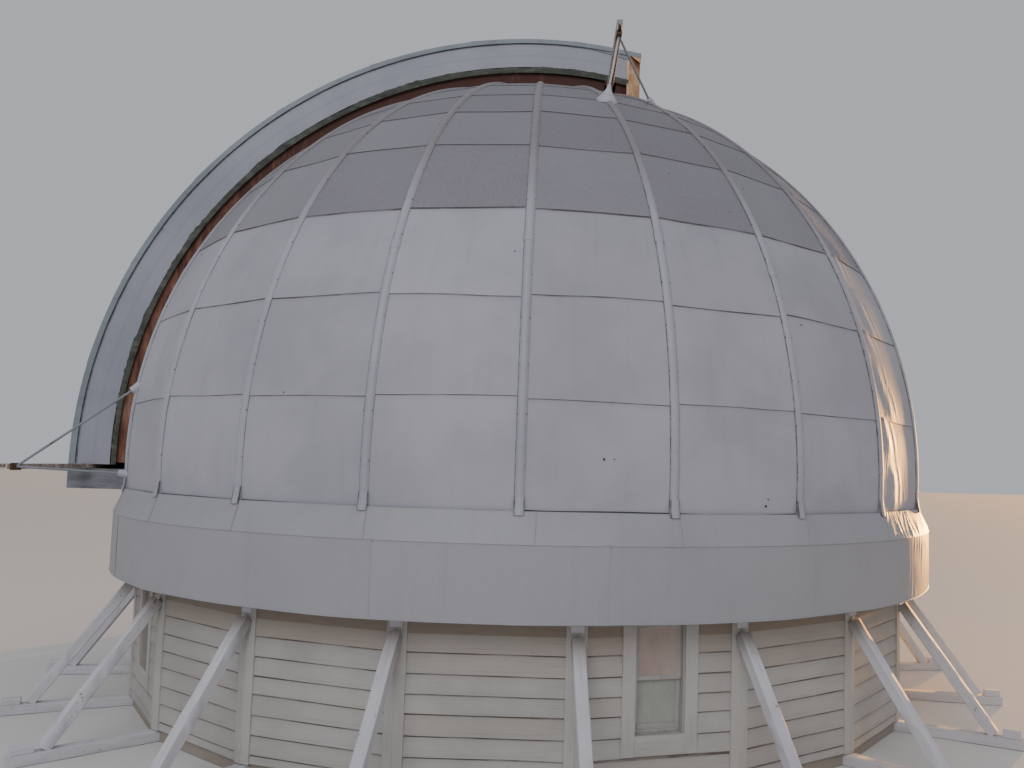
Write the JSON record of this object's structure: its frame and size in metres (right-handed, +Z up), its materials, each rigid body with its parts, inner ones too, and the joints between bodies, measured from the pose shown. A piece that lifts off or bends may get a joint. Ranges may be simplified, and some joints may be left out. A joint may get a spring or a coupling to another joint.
{
  "type": "observatory dome on a braced timber drum",
  "caption": "Turning steel observatory dome with a pair of sliding slit shutters, on a low timber drum with raking braces.",
  "frame": {"origin": "on the ground under the dome's centre", "axes": "+Z up, -X through the middle of the slit"},
  "size_m": [11.3478, 11.3478, 7.7378],
  "materials": {
    "dome_sheet": "weathered off-white paint on sheet steel",
    "skirt_sheet": "weathered off-white paint on sheet steel",
    "shutter_sheet": "weathered grey-white paint, rusty at the edges",
    "frame_steel": "thin grey-white paint over steel",
    "rail_steel": "bare rusty steel",
    "drum_timber": "white-painted clapboards, chalky",
    "brace_timber": "thin white paint on grey timber",
    "sash_paint": "aged paint on wood, with dull panes"
  },
  "bodies": {
    "drum": {"drum_wall_1": "drum_timber", "drum_wall_2": "drum_timber", "drum_wall_3": "drum_timber", "drum_wall_4": "drum_timber", "drum_wall_5": "drum_timber", "window_sash_1": "sash_paint", "window_sash_2": "sash_paint", "window_sash_3": "sash_paint", "window_sash_4": "sash_paint", "window_sash_5": "sash_paint", "brace_01": "brace_timber", "brace_02": "brace_timber", "brace_03": "brace_timber", "brace_04": "brace_timber", "brace_05": "brace_timber", "brace_06": "brace_timber", "brace_07": "brace_timber", "brace_08": "brace_timber", "brace_09": "brace_timber", "brace_10": "brace_timber", "brace_11": "brace_timber", "brace_12": "brace_timber", "brace_13": "brace_timber", "brace_14": "brace_timber", "brace_15": "brace_timber", "brace_16": "brace_timber", "brace_17": "brace_timber", "brace_18": "brace_timber", "brace_19": "brace_timber", "brace_20": "brace_timber"},
    "dome": {"dome_shell_1": "dome_sheet", "dome_shell_2": "dome_sheet", "dome_shell_3": "dome_sheet", "dome_shell_4": "dome_sheet", "dome_shell_5": "dome_sheet", "dome_shell_6": "dome_sheet", "skirt_1": "skirt_sheet", "skirt_2": "skirt_sheet", "skirt_3": "skirt_sheet", "skirt_4": "skirt_sheet", "slit_curb_near": "frame_steel", "slit_curb_far": "frame_steel", "slit_sill": "skirt_sheet", "sill_rail": "rail_steel", "top_rail": "rail_steel", "top_rail_stand_near": "frame_steel", "sill_rail_stand_near": "frame_steel", "top_rail_stand_far": "frame_steel", "sill_rail_stand_far": "frame_steel"},
    "shutter_near": {"shutter_near_side": "shutter_sheet", "shutter_near_cover": "shutter_sheet"},
    "shutter_far": {"shutter_far_side": "shutter_sheet", "shutter_far_cover": "shutter_sheet"}
  },
  "joints": [
    {"name": "dome_turn", "type": "hinge", "parent": "drum", "child": "dome", "pos_m": [0, 0, 2.6], "axis": [0, 0, 1], "continuous": true},
    {"name": "shutter_near_slide", "type": "slide", "parent": "dome", "child": "shutter_near", "axis": [0, -1, 0], "range_m": [0, 1.175]},
    {"name": "shutter_far_slide", "type": "slide", "parent": "dome", "child": "shutter_far", "axis": [0, 1, 0], "range_m": [0, 1.175]}
  ]
}
